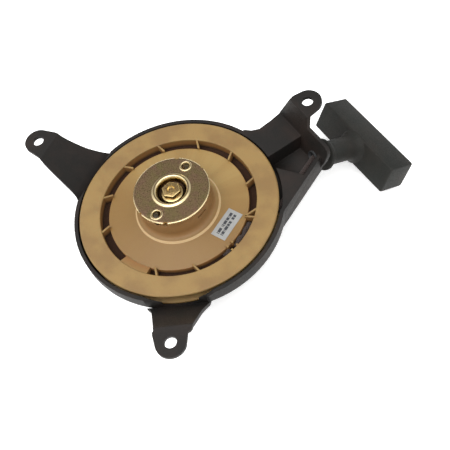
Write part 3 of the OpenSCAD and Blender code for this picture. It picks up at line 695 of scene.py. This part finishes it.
def centre_bolt():
    low, head, seat = low_of("centre_bolt"), top_of("centre_bolt"), DISH_Z
    bm = bmesh.new()
    spun(bm, [
        (0, low), (3.4 * MM, low), (4 * MM, low + 0.6 * MM), (4 * MM, seat + 0.05 * MM),
        (8.2 * MM, seat + 0.05 * MM), (8.6 * MM, seat + 0.3 * MM), (8.6 * MM, seat + 0.9 * MM),
        (8.2 * MM, seat + 1.2 * MM), (7 * MM, seat + 1.5 * MM), (0, seat + 1.5 * MM),
    ], steps=64)
    across_flats = 13 * MM
    hexagon = across_flats / 2 / math.cos(math.radians(30))
    head_low = seat + 1.2 * MM
    made = bmesh.ops.create_cone(
        bm, cap_ends=True, segments=6, radius1=hexagon, radius2=hexagon, depth=head - head_low,
        matrix=Matrix.Translation((0, 0, (head + head_low) / 2)) @ Matrix.Rotation(math.radians(12), 4, "Z"),
    )
    corners = {v for v in made["verts"] if v.co.z > head - 1e-5}
    round_edges(bm, 0.7 * MM, 3, 30, lambda e: not corners.isdisjoint(e.verts))
    obj = finish_mesh(bm, "centre_bolt_flanged", bolt_zinc, 40)
    dimple = bmesh.new()
    spun(dimple, [
        (0, head - 1.5 * MM), (2.4 * MM, head - 1.4 * MM), (2.9 * MM, head - 0.8 * MM),
        (3.2 * MM, head + 0.2 * MM), (0, head + 0.2 * MM),
    ], steps=48)
    cut_away(obj, [finish_mesh(dimple, "dimple", bolt_zinc)], 40)
    place(obj, "housing", "bolt_zinc", "centre_bolt")


def softened(node, body, slot, material, width):
    """Stands for a small CAD node with the same shape, its edges rounded."""
    bm = copied(node)
    round_edges(bm, width, 2, 35)
    place(finish_mesh(bm, node + "_finished", material, 35), body, slot, node)


# ---- Rope ----


def helix(radius, low, high, turns, start_az):
    steps = int(turns * 72)
    parts = [i / steps for i in range(steps + 1)]
    return [polar(radius, start_az + 360 * turns * t, low + (high - low) * t) for t in parts]


def rope_turns():
    """Two layers of two turns in the reel's groove."""
    bm = bmesh.new()
    low, high = GROOVE_LOW_Z + ROPE_R + 0.05 * MM, GROOVE_TOP_Z - ROPE_R - 0.05 * MM
    near = DRUM_R + 0.1 * MM + ROPE_R
    sweep(bm, helix(near, low, high, 1.9, -14), ROPE_R, 14)
    sweep(bm, helix(near + 1.95 * ROPE_R, high, low, 1.9, -40), ROPE_R, 14)
    obj = finish_mesh(bm, "rope_turns", rope_cord, 60)
    place(obj, "reel", "rope", "rope_wound")


def knot_path(centre, reach, turned):
    # trefoil knot as a closed curve
    points = []
    for i in range(73):
        t = FULL_TURN * i / 72
        x, y = math.sin(t) + 2 * math.sin(2 * t), math.cos(t) - 2 * math.cos(2 * t)
        loop = Vector((x, y, -1.3 * math.sin(3 * t)))
        points.append(centre + turned @ (loop * reach / 3))
    return points


def rope_end():
    """The stretch of rope in the reel's pocket, pinched by the teeth and frayed at its end."""
    middle_r = (POCKET_IN_R + POCKET_R) / 2 + 0.1 * MM
    z = FLANGE_Z - 5.2 * MM
    bm = bmesh.new()
    path = []
    for i in range(17):
        # it wanders a little, both sideways and up and down
        aside, up = 0.5 * MM * math.sin(i), 0.6 * MM * math.sin(i * 0.7)
        path.append(polar(middle_r + aside, 337.2 - 21 * i / 16, z + up))
    sweep(bm, path, ROPE_R, 16)
    place(finish_mesh(bm, "rope_pocket_stretch", rope_cord, 60), "reel", "rope", "rope_anchor")
    bm = bmesh.new()
    knot = polar(middle_r, 309.6, z + 0.4 * MM)
    sweep(bm, knot_path(knot, 1.8 * MM, Matrix.Rotation(math.radians(40), 3, "Z")), 1.1 * MM, 10)
    for k in range(7):
        # loose ends of the strands
        start = knot + polar(1.2 * MM, 50 * k, 0.3 * MM)
        tip = polar(middle_r + (k - 3) * 0.5 * MM, 305.2 + 0.4 * (k % 3), z + (k % 2) * MM)
        sweep(bm, [start, (start + tip) / 2 + Vector((0, 0, 0.6 * MM)), tip], 0.45 * MM, 8)
    place(finish_mesh(bm, "rope_reel_knot_tied", rope_cord, 60), "reel", "rope", "rope_reel_knot")


# Where the rope goes through the eyelet, and where it leaves the reel
EYELET = Vector((109.58, 34.28, -33.8)) * MM
TANGENT = Vector((56.79, -40.24, -31.8)) * MM
# The stretch past the eyelet, which on the real starter lengthens when the handle is pulled
FREE_RUN = (3.4 * MM, 9 * MM)


def rope_lead():
    """The rope from the reel's side through the eyelet and down the handle's stem."""
    run = (EYELET - TANGENT).normalized()
    path = [EYELET - run * d * MM for d in (57.6, 50, 40, 30, 22, 15, 10, 6, 4)]
    a, b, c = EYELET - run * 3 * MM, EYELET + (PULL - run) * 0.2 * MM, EYELET + PULL * 3 * MM
    bend = 12
    for i in range(bend + 1):
        t = i / bend
        path.append((1 - t) ** 2 * a + 2 * t * (1 - t) * b + t * t * c)
    path += [EYELET + PULL * (FREE_RUN[0] + 0.2 * MM * i) for i in range(30)]
    path += [EYELET + PULL * d * MM for d in (10, 14, 20, 28, 36, 44, 50, 54.4)]
    bm = bmesh.new()
    sweep(bm, path, ROPE_R, 16)
    obj = finish_mesh(bm, "rope_lead_braided", rope_cord, 60)
    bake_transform(obj)
    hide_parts("rope_lead")


# ---- Handle ----


def along_pull():
    """Frame at the eyelet with its Z along the pull."""
    return Matrix.Translation(EYELET) @ Matrix.Rotation(PULL_AZ, 4, "Z") @ Matrix.Rotation(
        math.radians(90) - PULL_EL, 4, "Y"
    )


def handle():
    length, width, height, reach = 87.4 * MM, 25 * MM, 25.2 * MM, 55.5 * MM
    twist = math.radians(3)
    place_pull = along_pull()
    bm = bmesh.new()
    bar = place_pull @ Matrix.Translation((0, 0, reach)) @ Matrix.Rotation(twist, 4, "Z")
    block(bm, (height, length, width), bar)
    round_edges(bm, 1.5 * MM, 3, 40)
    face = reach - width / 2
    bore, stem, start = 2.7 * MM, 10 * MM, 8.4 * MM
    spun(bm, [
        (bore, start), (12.2 * MM, start), (12.9 * MM, start + 0.6 * MM), (13 * MM, start + 2 * MM),
        (12.4 * MM, start + 3 * MM), (11 * MM, start + 4.6 * MM), (stem, start + 7.5 * MM),
        (stem, face - 9 * MM), (stem + 0.3 * MM, face - 6 * MM), (stem + 1.1 * MM, face - 3.4 * MM),
        (stem + 2.4 * MM, face - 1.4 * MM), (stem + 4.2 * MM, face + 0.3 * MM),
        (stem + 4.2 * MM, face + 1 * MM), (bore, face + 1 * MM),
    ], steps=64, place=place_pull)
    obj = finish_mesh(bm, "handle_grip_moulded", rubber, 50)
    place(obj, "handle", "rubber", "handle_grip")


# ---- Carried CAD nodes ----

CARRIED = {
    "centre_post": steel,
    "outlet_eyelet": dark_plastic,
    "spring_case": dark_plastic,
    "recoil_spring": spring_steel,
    "spring_cover": zinc_sheet,
    "reel_thrust_washer": acetal,
    "reel_label": label_film,
    "pawl_spring_a": steel,
    "pawl_spring_b": steel,
    "friction_spring": steel,
    "friction_washer": acetal,
    "rope_handle_knot": rope_cord,
    "handle_retainer": steel,
    "handle_plug": rubber,
}
for node, material in CARRIED.items():
    for slot in nodes[node].material_slots:
        slot.material = material

housing()
reel()
friction_plate()
centre_bolt()
for side in ("a", "b"):
    softened("pawl_" + side, "pawl_" + side, "pawl_steel", pawl_steel, 0.3 * MM)
rope_turns()
rope_end()
rope_lead()
handle()


# ---- Stage ----


def floor():
    bm = bmesh.new()
    bmesh.ops.create_grid(bm, x_segments=1, y_segments=1, size=3.0)
    bmesh.ops.translate(bm, vec=(0, 0, BACK_Z - 0.2 * MM), verts=bm.verts)
    # White acrylic, lit from below: even and almost without shadows
    acrylic = grained("acrylic_opal_lit", "fbfbfa", "f8f8f7", 200, 3, 0.001, (0.9, 0.95), settings={
        "Emission Color": (1, 1, 1, 1), "Emission Strength": 0.5,
    })
    obj = finish_mesh(bm, "floor", acrylic)


def area_light(name, direction, distance, size, power):
    """A square soft light that looks at the starter's middle."""
    data = bpy.data.lights.new(name, "AREA")
    data.size, data.energy = size, power
    obj = bpy.data.objects.new(name, data)
    spot = Vector(direction).normalized() * distance
    obj.location = spot
    obj.rotation_euler = spot.to_track_quat("Z", "Y").to_euler()
    bpy.context.scene.collection.objects.link(obj)


def camera():
    """A 67 mm lens on a 36 mm sensor, high in front of the starter and rolled to one side."""
    target, distance = Vector((37.0, -24.3, -24.8)) * MM, 640.3 * MM
    azimuth, elevation, roll = (math.radians(a) for a in (14.34, 56.9, -19.45))
    back = Vector((
        math.sin(azimuth) * math.cos(elevation),
        -math.cos(azimuth) * math.cos(elevation),
        math.sin(elevation),
    ))
    level = (-back).cross(Vector((0, 0, 1))).normalized()
    upward = back.cross(level)
    right = math.cos(roll) * level + math.sin(roll) * upward
    data = bpy.data.cameras.new("camera")
    data.lens, data.sensor_width = 67.2, 36.0
    data.clip_start, data.clip_end = 0.01, 50
    obj = bpy.data.objects.new("camera", data)
    axes = Matrix((right, back.cross(right), back)).transposed()
    obj.matrix_world = Matrix.Translation(target + back * distance) @ axes.to_4x4()
    bpy.context.scene.collection.objects.link(obj)
    bpy.context.scene.camera = obj


def studio():
    world = bpy.data.worlds.new("studio")
    world.use_nodes = True
    world.node_tree.nodes["Background"].inputs["Color"].default_value = (1, 1, 1, 1)
    world.node_tree.nodes["Background"].inputs["Strength"].default_value = 0.7
    bpy.context.scene.world = world
    bpy.context.scene.view_settings.view_transform = "Standard"
    area_light("overhead", (-0.1, -0.3, 1), 1.4, 1.5, 24)
    area_light("key", (-0.9, 0.1, 0.9), 1.5, 1.2, 6)
    area_light("fill", (1.0, -0.3, 0.8), 1.6, 1.2, 4)


floor()
camera()
studio()
